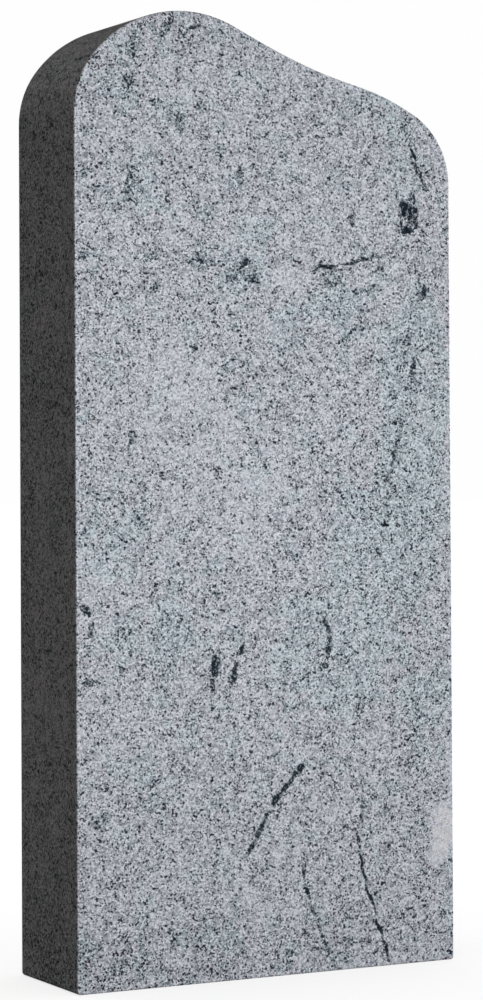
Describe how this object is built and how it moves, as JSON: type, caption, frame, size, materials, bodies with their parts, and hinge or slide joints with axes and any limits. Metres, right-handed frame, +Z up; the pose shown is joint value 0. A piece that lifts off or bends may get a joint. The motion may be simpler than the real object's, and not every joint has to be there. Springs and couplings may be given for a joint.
{
  "type": "headstone",
  "caption": "Upright headstone: a polished slab of light speckled granite with a wave-shaped top that falls from a high crown to a low rounded shoulder.",
  "frame": {"origin": "centre of the bottom of the bounding box: mid width, mid thickness, on the underside", "axes": "+Z up; the front face, with the high crown on the viewer's left, faces -Y; +X to the viewer's right"},
  "size_m": [0.445, 0.14, 1],
  "materials": {
    "granite": "polished light grey granite with fine dark specks and a few dark veins"
  },
  "bodies": {
    "root": {"headstone": "granite"}
  },
  "joints": []
}
